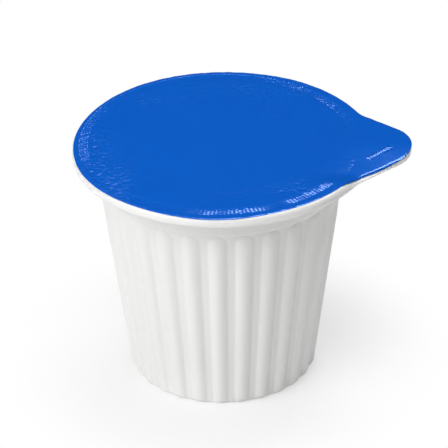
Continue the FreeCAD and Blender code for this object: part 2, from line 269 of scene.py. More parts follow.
def outline_curve(name, rim, reach, shapes, shift=(0, 0), places=()):
    """The rim, anticlockwise from the tip, as a closed curve object that only the node trees read.

    shapes are the half outlines of its far and near side, and shift moves the whole rim.
    """
    far, near = [half_outline(rim, reach, shape) for shape in shapes]
    points = far + [(-rim, 0)] + [(x, -y) for x, y in near[:0:-1]]
    points = [stray(x + shift[0], y + shift[1], places) for x, y in points]
    curve = bpy.data.curves.new(name, "CURVE")
    curve.dimensions = "3D"
    spline = curve.splines.new("POLY")
    spline.points.add(len(points) - 1)
    for point, (x, y) in zip(spline.points, points):
        point.co = (x, y, 0, 1)
    spline.use_cyclic_u = True
    return bpy.data.objects.new(name, curve)


def section_mesh(name, rows, extra):
    """Rows of a section as a mesh object that a node tree reads.

    Each row is (radius, reach, height, first, second): reach is 0 on the round wall and 1 along the
    tabbed rim, and the last two are lengths that the tree reads from the attribute named by extra.
    """
    mesh = bpy.data.meshes.new(name)
    mesh.from_pydata([row[:3] for row in rows], [(i, i + 1) for i in range(len(rows) - 1)], [])
    more = mesh.attributes.new(extra, "FLOAT_VECTOR", "POINT")
    for item, row in zip(more.data, rows):
        item.vector = (row[3], row[4], 0)
    return bpy.data.objects.new(name, mesh)


def crest_radius(height):
    """Outside of the ribs at a height, with the round foot."""
    touch = FOOT_ROUND * (1 - sin(DRAFT))
    if height < touch:
        return FOOT + sqrt(FOOT_ROUND ** 2 - (FOOT_ROUND - height) ** 2)
    return WALL * (height + APEX_DEPTH) / (UNDERSIDE + APEX_DEPTH)


def valley_radius(height):
    """Wall between the ribs at a height: its own foot starts from the same ring."""
    edge = WALL * (COLLAR_EDGE + APEX_DEPTH) / (UNDERSIDE + APEX_DEPTH) - RIB_RISE
    slope = edge / (COLLAR_EDGE + APEX_DEPTH)
    foot_round = (slope * APEX_DEPTH - FOOT) / tan(radians(45) - DRAFT / 2)
    touch = foot_round * (1 - sin(DRAFT))
    if height < touch:
        return FOOT + sqrt(foot_round ** 2 - (foot_round - height) ** 2)
    return slope * (height + APEX_DEPTH)


def wall_row(height):
    """One row of the ribbed wall: the valley, and the rise and half width of a rib over it."""
    size = (min(height, ARCH_START) + APEX_DEPTH) / (ARCH_START + APEX_DEPTH)
    near_top = min(max(1 - (ARCH_START - height) / RIB_FADE, 0), 1)
    valley = valley_radius(height)
    rise = (crest_radius(height) - valley) * (1 - RIB_FADED * near_top ** 2)
    half = RIB_WIDTH / 2 * size
    past = max(height - ARCH_START, 0)
    if past:
        end = max(1 - (past / (RIB_WIDTH / 2)) ** 2, 0)
        rise, half = rise * end, half * sqrt(end)
    return (valley, 0, height, rise, max(half, RIB_LEAST_WIDTH))


def cup_rows():
    """The cup's section from the middle of its base, up the wall and over the flange to its middle.

    The cup is filled, as its CAD solid is, so its top is flat under the foil.
    """
    ring = FOOT - FOOT_RING
    base = [ring * (1 - (1 - i / BASE_ROWS) ** 2) ** 0.5 for i in range(BASE_ROWS + 1)]
    rows = [(radius, 0, BASE_RISE * (1 - (radius / ring) ** 2), *NO_RIB) for radius in base]
    rows += [(ring + FOOT_RING * i / RING_ROWS, 0, 0, *NO_RIB) for i in range(1, RING_ROWS + 1)]
    foot_turns = [FOOT_LAST * i / FOOT_ROWS for i in range(1, FOOT_ROWS + 1)]
    rows += [wall_row(FOOT_ROUND * (1 - cos(turn))) for turn in foot_turns]
    rows += [wall_row(z) for z in spread(FOOT_ROUND, ARCH_START, RIB_ROWS)]
    arch_turns = [radians(90) * i / ARCH_ROWS for i in range(ARCH_ROWS + 1)]
    rows += [wall_row(ARCH_START + (RIB_WIDTH / 2) * sin(turn)) for turn in arch_turns]
    rows += [wall_row(COLLAR_EDGE - RIB_GAP * 0.5)]
    rows += [(valley_radius(COLLAR_EDGE) + CORNER_OUT, 0, COLLAR_EDGE - CORNER_DOWN, *NO_RIB)]

    lip = (crest_radius(COLLAR_EDGE) - COLLAR_ROUND, COLLAR_EDGE + COLLAR_ROUND)
    neck = (WALL + NECK_ROUND, UNDERSIDE - NECK_ROUND)
    round_lip = arc(lip, COLLAR_ROUND, radians(-90), -DRAFT / 2, LIP_ROWS)
    rows += [(x, 0, z, *NO_RIB) for x, z in round_lip]
    rows += [(crest_radius(z), 0, z, *NO_RIB) for z in spread(lip[1], neck[1], COLLAR_ROWS)]
    rows += [(x, 0, z, *NO_RIB) for x, z in arc(neck, NECK_ROUND, pi - DRAFT, pi / 2, NECK_ROWS)]

    lower = (FLANGE - LOWER_ROUND, UNDERSIDE + LOWER_ROUND)
    upper = (FLANGE - UPPER_WIDE, CUP_TOP - UPPER_HIGH)
    for i in range(UNDER_ROWS + 1):
        rows.append((neck[0] + (lower[0] - neck[0]) * i / UNDER_ROWS, i / UNDER_ROWS, UNDERSIDE, *NO_RIB))
    rows += [(x, 1, z, *NO_RIB) for x, z in arc(lower, LOWER_ROUND, LOWER_FIRST, 0, LOWER_ROWS)]
    rows += [(FLANGE, 1, z, *NO_RIB) for z in spread(lower[1], upper[1], EDGE_ROWS)]
    for x, z in arc((0, 0), 1, 0, pi / 2, UPPER_ROWS):
        rows.append((upper[0] + UPPER_WIDE * x, 1, upper[1] + UPPER_HIGH * z, *NO_RIB))
    rows += [(radius, 1, CUP_TOP, *NO_RIB) for radius in (upper[0], upper[0] - TOP_STRIP)]
    rows += [(WALL * (1 - i / TOP_ROWS), 0, CUP_TOP, *NO_RIB) for i in range(TOP_ROWS + 1)]
    return rows


def folded(inward, below):
    """How far a point of the foil moves out and down as its edge folds down over the side of the tab.

    inward is its distance from the edge along the foil, and below its depth in the foil.
    """
    if inward < FOLD_WRAP:
        turn = pi / 2 * (1 - inward / FOLD_WRAP)
        left = FOLD_WIDE * (1 - sin(turn)) - FOLD_CLEAR
        drop = FOLD_DEEP * (1 - cos(turn))
        lean = atan2(FOLD_DEEP * sin(turn), FOLD_WIDE * cos(turn))
    else:
        part = max(FOLD_REACH - inward, 0) / (FOLD_REACH - FOLD_WRAP)
        left = inward - part * (FOLD_WRAP - FOLD_WIDE + FOLD_CLEAR)
        drop = lean = 0
    return inward - left - below * sin(lean), drop - below * (1 - cos(lean))


def foil_rows():
    """The foil's section from the middle of its underside, out to its edge and back over its top.

    It is worked out from the top and reversed at the end, so that its faces point outwards. The last
    two lengths of a row are how far it moves out and down where the edge is folded.
    """
    rows = [(radius, 0, FACE, 0, 0) for radius in FACE_RADII]
    fan_end = FOIL_RIM - FOLD_WRAP
    radii = spread(FAN_START, BAND_START, FAN_ROWS)
    radii += spread(BAND_START, SEAL_INNER, BAND_ROWS)
    radii += spread(SEAL_INNER, fan_end, SEAL_ROWS)
    for radius in radii:
        part = (radius - FAN_START) / (fan_end - FAN_START)
        rows.append((radius, part * part * (3 - 2 * part), FACE, folded(FOIL_RIM - radius, 0)[0], 0))
    for inward in spread(FOLD_WRAP, 0, FOLD_ROWS) + [0]:
        rows.append((FOIL_RIM - inward, 1, FACE, *folded(inward, 0)))
    for share in UNDER_SHARES:
        inward = FOLD_WRAP * share
        rows.append((FOIL_RIM - inward, 1, FACE - FOIL, *folded(inward, FOIL)))
    rows += [(radius, 0, FACE - FOIL, 0, 0) for radius in UNDER_RADII]
    return rows[::-1]


# Node trees for the two pieces -------------------------------------------------------------------

COMMON_INPUTS = [
    ("Section", "NodeSocketObject", None),
    ("Outline", "NodeSocketObject", None),
    ("Finish", "NodeSocketMaterial", None),
    ("Rim", "NodeSocketFloat", FLANGE),
    ("Columns", "NodeSocketInt", CUP_COLUMNS),
]


def new_tree(name, inputs):
    """A node tree with named inputs; returns the tree and the outputs of its input node."""
    tree = bpy.data.node_groups.new(name, "GeometryNodeTree")
    for label, kind, value in inputs:
        socket = tree.interface.new_socket(label, in_out="INPUT", socket_type=kind)
        if value is not None:
            socket.default_value = value
    tree.interface.new_socket("Piece", in_out="OUTPUT", socket_type="NodeSocketGeometry")
    return tree, add(tree, "NodeGroupInput").outputs


def carry_round(tree, given, extra):
    """The nodes that lay the section's rows round a grid: what both pieces start from."""
    section = add(tree, "GeometryNodeObjectInfo", {"Object": given["Section"]}).outputs["Geometry"]
    rows = add(tree, "GeometryNodeAttributeDomainSize", {0: section})
    across = add(tree, "ShaderNodeMath", {0: given["Columns"], 1: 1.0}, operation="ADD")
    grid = add(tree, "GeometryNodeMeshGrid", {"Vertices X": across, "Vertices Y": rows})
    index = add(tree, "GeometryNodeInputIndex")
    raw = add(tree, "ShaderNodeMath", {0: index, 1: rows}, operation="DIVIDE")
    column = add(tree, "ShaderNodeMath", {0: raw}, operation="FLOOR")
    row = add(tree, "ShaderNodeMath", {0: index, 1: rows}, operation="MODULO")
    turn = add(tree, "ShaderNodeMath", {0: column, 1: given["Columns"]}, operation="DIVIDE")
    angle = add(tree, "ShaderNodeMath", {0: turn, 1: 2 * pi}, operation="MULTIPLY")
    place = add(tree, "GeometryNodeInputPosition")
    named = add(tree, "GeometryNodeInputNamedAttribute", {"Name": extra}, data_type="FLOAT_VECTOR")
    parts = []
    for field in (place, named):
        sample = add(
            tree, "GeometryNodeSampleIndex", {"Geometry": section, "Value": field, "Index": row},
            data_type="FLOAT_VECTOR", domain="POINT")
        parts.append(add(tree, "ShaderNodeSeparateXYZ", {0: sample}).outputs)
    return {"mesh": grid.outputs["Mesh"], "turn": turn, "angle": angle,
            "radius": parts[0][0], "reach": parts[0][1], "height": parts[0][2],
            "first": parts[1][0], "second": parts[1][1]}


def from_rim(tree, given, radius):
    """How far inwards of the rim a radius is."""
    return add(tree, "ShaderNodeMath", {0: given["Rim"], 1: radius}, operation="SUBTRACT")


def plan_place(tree, given, laid, radius):
    """Where a point is in plan: on a circle, on the tabbed outline, or on the way between them."""
    sine = add(tree, "ShaderNodeMath", {0: laid["angle"]}, operation="SINE")
    cosine = add(tree, "ShaderNodeMath", {0: laid["angle"]}, operation="COSINE")
    direction = add(tree, "ShaderNodeCombineXYZ", {0: cosine, 1: sine})
    circle = add(tree, "ShaderNodeVectorMath", {0: direction, "Scale": radius}, operation="SCALE")
    outline = add(tree, "GeometryNodeObjectInfo", {"Object": given["Outline"]}).outputs["Geometry"]
    rim = add(
        tree, "GeometryNodeSampleCurve", {"Curves": outline, "Factor": laid["turn"]},
        mode="FACTOR").outputs
    inward = add(
        tree, "ShaderNodeVectorMath", {0: (0, 0, 1), 1: rim["Tangent"]}, operation="CROSS_PRODUCT")
    inset = from_rim(tree, given, radius)
    step = add(tree, "ShaderNodeVectorMath", {0: inward, "Scale": inset}, operation="SCALE")
    on_rim = add(tree, "ShaderNodeVectorMath", {0: rim["Position"], 1: step}, operation="ADD")
    return add(
        tree, "ShaderNodeMix", {"Factor": laid["reach"], 4: circle, 5: on_rim},
        data_type="VECTOR").outputs[1]


def near_side(tree, laid, ease, last):
    """1 along the tab's near side, from the shoulder to where it eases off to 0 towards the tip."""
    beyond = add(tree, "ShaderNodeMath", {0: laid["turn"], 1: 0.5, 2: -0.5}, operation="WRAP")
    begin = add(
        tree, "ShaderNodeMapRange", {0: beyond, 1: NEAR_FROM, 2: NEAR_FULL},
        interpolation_type="SMOOTHSTEP")
    end = add(
        tree, "ShaderNodeMapRange", {0: beyond, 1: ease, 2: last, 3: 1.0, 4: 0.0},
        interpolation_type="SMOOTHSTEP")
    return add(tree, "ShaderNodeMath", {0: begin, 1: end}, operation="MULTIPLY")


def drooped(tree, given, laid, room):
    """The row's height, less how far the tab's near side bends down towards its edge.

    room is how much further it goes down beside the foil's fold.
    """
    inset = from_rim(tree, given, laid["radius"])
    near_edge = add(tree, "ShaderNodeMapRange", {0: inset, 1: 0.0, 2: DROOP_WIDE, 3: 1.0, 4: 0.0})
    bow = add(tree, "ShaderNodeMath", {0: near_edge, 1: DROOP_CURVE}, operation="POWER")
    upper = add(tree, "ShaderNodeMapRange", {0: laid["height"], 1: DROOP_FROM, 2: CUP_TOP, 4: 1.0})
    share = add(tree, "ShaderNodeMath", {0: bow, 1: upper}, operation="MULTIPLY")
    beside = near_side(tree, laid, DROOP_EASE, DROOP_END)
    bent = add(tree, "ShaderNodeMath", {0: beside, 1: DROOP}, operation="MULTIPLY")
    fold = near_side(tree, laid, FOLD_EASE, FOLD_END)
    under_fold = add(tree, "ShaderNodeMath", {0: fold, 1: room}, operation="MULTIPLY")
    depth = add(tree, "ShaderNodeMath", {0: bent, 1: under_fold}, operation="ADD")
    droop = add(tree, "ShaderNodeMath", {0: depth, 1: share}, operation="MULTIPLY")
    return add(tree, "ShaderNodeMath", {0: laid["height"], 1: droop}, operation="SUBTRACT")


def finish_tree(tree, given, mesh, plan, height, smooth=True):
    """Puts the points in place, closes the seam and the two poles, and sets the finish."""
    lift = add(tree, "ShaderNodeCombineXYZ", {2: height})
    place = add(tree, "ShaderNodeVectorMath", {0: plan, 1: lift}, operation="ADD")
    shaped = add(tree, "GeometryNodeSetPosition", {"Geometry": mesh, "Position": place})
    shaded = add(tree, "GeometryNodeSetShadeSmooth", {"Geometry": shaped, "Shade Smooth": smooth})
    closed = add(tree, "GeometryNodeMergeByDistance", {"Geometry": shaded, "Distance": CLOSING})
    real = add(tree, "GeometryNodeRealizeInstances", {"Geometry": closed})
    done = add(tree, "GeometryNodeSetMaterial", {"Geometry": real, "Material": given["Finish"]})
    add(tree, "NodeGroupOutput", {0: done})


def cup_tree():
    """The ribbed cup: a rib rises where its width, from the section's rows, covers the point."""
    tree, given = new_tree("ribbed_cup", COMMON_INPUTS + [
        ("Ribs", "NodeSocketInt", RIBS),
        ("First rib", "NodeSocketFloat", RIB_TURN),
        ("Root softness", "NodeSocketFloat", RIB_SOFTNESS),
    ])
    laid = carry_round(tree, given, "rib")
    pitch = add(tree, "ShaderNodeMath", {0: 2 * pi, 1: given["Ribs"]}, operation="DIVIDE")
    half_pitch = add(tree, "ShaderNodeMath", {0: pitch, 1: 0.5}, operation="MULTIPLY")
    low = add(tree, "ShaderNodeMath", {0: half_pitch, 1: -1.0}, operation="MULTIPLY")
    from_first = add(
        tree, "ShaderNodeMath", {0: laid["angle"], 1: given["First rib"]}, operation="SUBTRACT")
    off = add(tree, "ShaderNodeMath", {0: from_first, 1: half_pitch, 2: low}, operation="WRAP")
    along = add(tree, "ShaderNodeMath", {0: off, 1: laid["radius"]}, operation="MULTIPLY")
    share = add(tree, "ShaderNodeMath", {0: along, 1: laid["second"]}, operation="DIVIDE")
    square = add(tree, "ShaderNodeMath", {0: share, 1: 2.0}, operation="POWER")
    crown = add(tree, "ShaderNodeMath", {0: 1.0, 1: square}, operation="SUBTRACT")
    soft = add(
        tree, "ShaderNodeMath", {0: crown, 1: 0.0, 2: given["Root softness"]}, operation="SMOOTH_MAX")
    rise = add(tree, "ShaderNodeMath", {0: soft, 1: laid["first"]}, operation="MULTIPLY")
    radius = add(tree, "ShaderNodeMath", {0: laid["radius"], 1: rise}, operation="ADD")
    plan = plan_place(tree, given, laid, radius)
    finish_tree(tree, given, laid["mesh"], plan, drooped(tree, given, laid, FOLD_ROOM))
    return tree


def edge_roll(tree, given, laid, plan):
    """How far the foil's edge rolls down, more in some places than in others."""
    inset = from_rim(tree, given, laid["radius"])
    near_edge = add(tree, "ShaderNodeMapRange", {0: inset, 1: 0.0, 2: ROLL_WIDE, 3: 1.0, 4: 0.0})
    square = add(tree, "ShaderNodeMath", {0: near_edge, 1: 2.0}, operation="POWER")
    depth = add(tree, "ShaderNodeMath", {0: square, 1: ROLL_DROP}, operation="MULTIPLY")
    # Flutter about 1 mm long.
    flutter = add(
        tree, "ShaderNodeTexNoise", {"Vector": plan, "W": ROLL_SEED, "Scale": 1.0 / MM, "Detail": 1.0},
        noise_dimensions="4D")
    uneven = add(
        tree, "ShaderNodeMapRange", {0: flutter, 1: NOISE_LOW, 2: NOISE_HIGH, 3: ROLL_LEAST, 4: 1.0})
    return add(tree, "ShaderNodeMath", {0: depth, 1: uneven}, operation="MULTIPLY")


def seal_band(tree, given, span):
    """1 where the sealing ring pressed the foil, with a short slope on both sides."""
    inner_end = add(tree, "ShaderNodeMath", {0: given["Seal inner"], 1: SEAL_STEP}, operation="ADD")
    step_in = add(
        tree, "ShaderNodeMapRange", {0: span, 1: given["Seal inner"], 2: inner_end},
        interpolation_type="SMOOTHSTEP")
    outer_start = add(
        tree, "ShaderNodeMath", {0: given["Seal outer"], 1: SEAL_STEP}, operation="SUBTRACT")
    step_out = add(
        tree, "ShaderNodeMapRange", {0: span, 1: outer_start, 2: given["Seal outer"], 3: 1.0, 4: 0.0},
        interpolation_type="SMOOTHSTEP")
    return add(tree, "ShaderNodeMath", {0: step_in, 1: step_out}, operation="MULTIPLY")


def knurling(tree, given, plan, bearing, span):
    """The knurls, from -1 to 1: crossed rows all round, and slanting ridges at the front."""
    round_phase = add(tree, "ShaderNodeMath", {0: bearing, 1: given["Knurls"]}, operation="MULTIPLY")
    from_start = add(tree, "ShaderNodeMath", {0: span, 1: KNURL_START}, operation="SUBTRACT")
    across_phase = add(
        tree, "ShaderNodeMath", {0: from_start, 1: 2 * pi / KNURL_ROW}, operation="MULTIPLY")
    wave_round = add(tree, "ShaderNodeMath", {0: round_phase}, operation="COSINE")
    wave_across = add(tree, "ShaderNodeMath", {0: across_phase}, operation="COSINE")
    crossed = add(tree, "ShaderNodeMath", {0: wave_round, 1: wave_across}, operation="MULTIPLY")
    along = add(
        tree, "ShaderNodeVectorMath", {0: plan, 1: (cos(RIDGE_FACES), sin(RIDGE_FACES), 0)},
        operation="DOT_PRODUCT").outputs["Value"]
    ridges = add(tree, "ShaderNodeMath", {0: along, 1: RIDGE_ROW}, operation="DIVIDE")
    part = add(tree, "ShaderNodeMath", {0: ridges}, operation="FRACT")
    rise = add(tree, "ShaderNodeMapRange", {0: part, 1: 0.0, 2: RIDGE_STEEP, 3: -1.0, 4: 1.0})
    fall = add(tree, "ShaderNodeMapRange", {0: part, 1: RIDGE_STEEP, 2: 1.0, 3: 1.0, 4: -1.0})
    ridge = add(tree, "ShaderNodeMath", {0: rise, 1: fall}, operation="MINIMUM")
    notch = add(tree, "ShaderNodeMapRange", {0: wave_round, 1: -1.0, 2: 1.0, 3: RIDGE_NOTCH, 4: 1.0})
    notched = add(tree, "ShaderNodeMath", {0: ridge, 1: notch}, operation="MULTIPLY")
    sideways = add(tree, "ShaderNodeSeparateXYZ", {0: plan}).outputs["Y"]
    front = add(
        tree, "ShaderNodeMapRange", {0: sideways, 1: RIDGES_FROM, 2: RIDGES_FULL, 3: 0.0, 4: 1.0})
    return add(tree, "ShaderNodeMix", {0: front, 2: crossed, 3: notched}, data_type="FLOAT")


def pressing(tree, plan, bearing):
    """How hard the sealing ring pressed the knurls in, from 0 to 1."""
    # Patches about 2 mm wide.
    patches = add(
        tree, "ShaderNodeTexNoise", {"Vector": plan, "W": PATCH_SEED, "Scale": 0.5 / MM, "Detail": 2.0},
        noise_dimensions="4D")
    patchy = add(
        tree, "ShaderNodeMapRange", {0: patches, 1: NOISE_LOW, 2: NOISE_HIGH, 3: LEAST_PATCH, 4: 1.0})
    force = LEAST_FORCE
    for place, reach, most in HARD_PRESSED:
        off = add(tree, "ShaderNodeMath", {0: bearing, 1: radians(place)}, operation="SUBTRACT")
        nearness = add(tree, "ShaderNodeMath", {0: off}, operation="COSINE")
        first, full = cos(radians(1.5 * reach)), cos(radians(0.5 * reach))
        lobe = add(
            tree, "ShaderNodeMapRange", {0: nearness, 1: first, 2: full, 4: most},
            interpolation_type="SMOOTHSTEP")
        force = add(tree, "ShaderNodeMath", {0: lobe, 1: force}, operation="MAXIMUM")
    return add(tree, "ShaderNodeMath", {0: patchy, 1: force}, operation="MULTIPLY")


def short_creases(tree, given, plan, bearing, span):
    """The height of the short creases that run in from the band."""
    round_way = add(tree, "ShaderNodeMath", {0: bearing, 1: CREASE_TURNS}, operation="MULTIPLY")
    inward_way = add(tree, "ShaderNodeMath", {0: span, 1: CREASE_CHANGE}, operation="MULTIPLY")
    way = add(tree, "ShaderNodeCombineXYZ", {0: round_way, 1: inward_way})
    creases = add(
        tree, "ShaderNodeTexNoise", {"Vector": way, "W": CREASE_SEED, "Scale": 1.0, "Detail": 2.0},
        noise_dimensions="4D")
    centred = add(tree, "ShaderNodeMath", {0: creases, 1: 0.5}, operation="SUBTRACT")
    near_band = add(
        tree, "ShaderNodeMapRange", {0: span, 1: CREASE_BEGIN, 2: CREASE_FULL},
        interpolation_type="SMOOTHSTEP")
    short = add(
        tree, "ShaderNodeMapRange", {0: span, 1: CREASE_FULL, 2: CREASE_STOP, 3: 1.0, 4: CREASE_LEFT},
        interpolation_type="SMOOTHSTEP")
    # They gather in places about 11 mm wide.
    places = add(
        tree, "ShaderNodeTexNoise", {"Vector": plan, "W": PLACE_SEED, "Scale": 0.09 / MM, "Detail": 1.0},
        noise_dimensions="4D")
    gathered = add(tree, "ShaderNodeMapRange", {0: places, 1: CREASE_NONE, 2: CREASE_MOST})
    height = add(tree, "ShaderNodeMath", {0: centred, 1: given["Crease height"]}, operation="MULTIPLY")
    for share in (near_band, short, gathered):
        height = add(tree, "ShaderNodeMath", {0: height, 1: share}, operation="MULTIPLY")
    return height


def foil_tree():
    """The foil lid: its edge folds down beside the tab, and its face takes the sealing band and creases."""
    tree, given = new_tree("foil_lid", COMMON_INPUTS + [
        ("Seal inner", "NodeSocketFloat", SEAL_INNER),
        ("Seal outer", "NodeSocketFloat", SEAL_OUTER),
        ("Seal depth", "NodeSocketFloat", SEAL_DEPTH),
        ("Knurls", "NodeSocketInt", KNURLS),
        ("Knurl height", "NodeSocketFloat", KNURL_HEIGHT),
        ("Crease height", "NodeSocketFloat", CREASE_HEIGHT),
    ])
    laid = carry_round(tree, given, "fold")
    fold = near_side(tree, laid, FOLD_EASE, FOLD_END)
    out = add(tree, "ShaderNodeMath", {0: laid["first"], 1: fold}, operation="MULTIPLY")
    radius = add(tree, "ShaderNodeMath", {0: laid["radius"], 1: out}, operation="ADD")
    plan = plan_place(tree, given, laid, radius)
    drop = add(tree, "ShaderNodeMath", {0: laid["second"], 1: fold}, operation="MULTIPLY")
    bent = drooped(tree, given, laid, 0.0)
    folded_height = add(tree, "ShaderNodeMath", {0: bent, 1: drop}, operation="SUBTRACT")
    roll = edge_roll(tree, given, laid, plan)
    edge_height = add(tree, "ShaderNodeMath", {0: folded_height, 1: roll}, operation="SUBTRACT")

    apart = add(tree, "ShaderNodeSeparateXYZ", {0: plan}).outputs
    bearing = add(tree, "ShaderNodeMath", {0: apart["Y"], 1: apart["X"]}, operation="ARCTAN2")
    from_seal = add(tree, "ShaderNodeVectorMath", {0: plan, 1: SEAL_SHIFT}, operation="SUBTRACT")
    span = add(tree, "ShaderNodeVectorMath", {0: from_seal}, operation="LENGTH").outputs["Value"]
    band = seal_band(tree, given, span)
    knurl = knurling(tree, given, plan, bearing, span)
    knurl_height = add(tree, "ShaderNodeMath", {0: knurl, 1: given["Knurl height"]}, operation="MULTIPLY")
    force = pressing(tree, plan, bearing)
    knurl_shown = add(tree, "ShaderNodeMath", {0: knurl_height, 1: force}, operation="MULTIPLY")
    knurled = add(tree, "ShaderNodeMath", {0: knurl_shown, 1: given["Seal depth"]}, operation="SUBTRACT")
    seal = add(tree, "ShaderNodeMath", {0: knurled, 1: band}, operation="MULTIPLY")
    creases = short_creases(tree, given, plan, bearing, span)
    relief = add(tree, "ShaderNodeMath", {0: seal, 1: creases}, operation="ADD")
    height = add(tree, "ShaderNodeMath", {0: edge_height, 1: relief}, operation="ADD")

    # The band isn't shaded smooth, so that each face of a knurl glints by itself.
    plain = add(tree, "ShaderNodeMath", {0: band, 1: 0.5}, operation="LESS_THAN")
    smooth = add(tree, "GeometryNodeFieldOnDomain", {0: plain}, data_type="FLOAT", domain="POINT")
    finish_tree(tree, given, laid["mesh"], plan, height, smooth)
    return tree


def made(name, tree, values):
    """A plain mesh object made by a node tree with these values for its named inputs."""
    start = bpy.data.objects.new(name + "_start", bpy.data.meshes.new(name + "_start"))
    scene.collection.objects.link(start)
    modifier = start.modifiers.new("shape", "NODES")
    modifier.node_group = tree
    identifiers = {item.name: item.identifier for item in tree.interface.items_tree}
    for label, value in values.items():
        modifier[identifiers[label]] = value
    evaluated = start.evaluated_get(bpy.context.evaluated_depsgraph_get())
    piece = bpy.data.objects.new(name, bpy.data.meshes.new_from_object(evaluated))
    scene.collection.objects.link(piece)
    start.modifiers.clear()
    bpy.data.objects.remove(start)
    return piece


# Finishes ----------------------------------------------------------------------------------------


def new_finish(name):
    """A material with an empty node tree; returns the material and its tree."""
    material = bpy.data.materials.new(name)
    material.use_nodes = True
    material.node_tree.nodes.clear()
    return material, material.node_tree


def moulded_polystyrene():
    """White moulded polystyrene: a soft satin gloss, a little light inside it, hardly any texture."""
    material, tree = new_finish("moulded_polystyrene")
    place = add(tree, "ShaderNodeTexCoord").outputs["Object"]
    # Clouds about 8 mm wide in the white, where the melt flowed.
    cloud = add(tree, "ShaderNodeTexNoise", {"Vector": place, "Scale": 0.12 / MM, "Detail": 2.0})
    tint = add(
        tree, "ShaderNodeMix", {"Factor": cloud, 6: linear("#F1F1EF"), 7: linear("#F4F4F3")},
        data_type="RGBA")
    # The satin varies over about 0.8 mm, and the skin of the mould is grained at about 0.45 mm.
    satin = add(tree, "ShaderNodeTexNoise", {"Vector": place, "Scale": 1.2 / MM, "Detail": 3.0})
    rough = add(tree, "ShaderNodeMapRange", {0: satin, 3: 0.38, 4: 0.5})
    skin = add(tree, "ShaderNodeTexNoise", {"Vector": place, "Scale": 2.2 / MM, "Detail": 3.0})
    bump = add(tree, "ShaderNodeBump", {"Height": skin, "Strength": 0.15, "Distance": 0.01 * MM})
    shader = add(
        tree, "ShaderNodeBsdfPrincipled",
        {"Base Color": tint.outputs[2], "Roughness": rough, "Normal": bump, "IOR": 1.55,
         "Subsurface Weight": 0.12, "Subsurface Radius": (1.0, 0.95, 0.9), "Subsurface Scale": 0.8 * MM})
    add(tree, "ShaderNodeOutputMaterial", {"Surface": shader})
    return material


# The streak on the tab: its middle, its turn, the pitch of its hatching and how deep that notches it,
# how much it slopes across, and for axis 0 along it and axis 1 across it, how far from its middle it
# starts to fade and where it is gone.
GRIP_PLACE = (20.6 * MM, -2.1 * MM, 0)
GRIP_TURN = (0, 0, radians(43))
GRIP_PITCH = 0.42 * MM
GRIP_NOTCH = 0.5
GRIP_SLOPE = 0.4
GRIP_ALONG = (0, 1.7 * MM, 2.2 * MM)
GRIP_ACROSS = (1, 0.32 * MM, 0.46 * MM)


def grip_marks(tree, place):
    """A short hatched streak on the tab, where a gripper held it: its height in millimetres."""
    turned = add(
        tree, "ShaderNodeMapping", {"Vector": place, "Location": GRIP_PLACE, "Rotation": GRIP_TURN},
        vector_type="TEXTURE")
    apart = add(tree, "ShaderNodeSeparateXYZ", {0: turned}).outputs
    phase = add(tree, "ShaderNodeMath", {0: apart[0], 1: 2 * pi / GRIP_PITCH}, operation="MULTIPLY")
    wave = add(tree, "ShaderNodeMath", {0: phase}, operation="SINE")
    notched = add(tree, "ShaderNodeMapRange", {0: wave, 1: -1.0, 2: 1.0, 3: GRIP_NOTCH, 4: 1.0})
    slope = add(tree, "ShaderNodeMath", {0: apart[1], 1: GRIP_SLOPE / MM}, operation="MULTIPLY")
    height = add(tree, "ShaderNodeMath", {0: slope, 1: notched}, operation="MULTIPLY")
    for axis, fade, gone in (GRIP_ALONG, GRIP_ACROSS):
        away = add(tree, "ShaderNodeMath", {0: apart[axis]}, operation="ABSOLUTE")
        inside = add(
            tree, "ShaderNodeMapRange", {0: away, 1: fade, 2: gone, 3: 1.0, 4: 0.0},
            interpolation_type="SMOOTHSTEP")
        height = add(tree, "ShaderNodeMath", {0: height, 1: inside}, operation="MULTIPLY")
    return height


# The foil is crinkled all over, but less in its middle, hardly at all on the tab, and more in some
# places than in others. The middle's two lengths are distances from the origin, far below the foil,
# so they stand for rings 7.7 mm and 16.4 mm in radius. The tab's are lengths along X.
CRINKLE_DEEP = 0.16 * MM
CRINKLE_LEAST, CRINKLE_NONE, CRINKLE_MOST = 0.1, 0.42, 0.62
MIDDLE_FROM, MIDDLE_TO, MIDDLE_CRINKLE = 33.5 * MM, 36.5 * MM, 0.25
TAB_FROM, TAB_TO, TAB_CRINKLE = 14 * MM, 18 * MM, 0.12


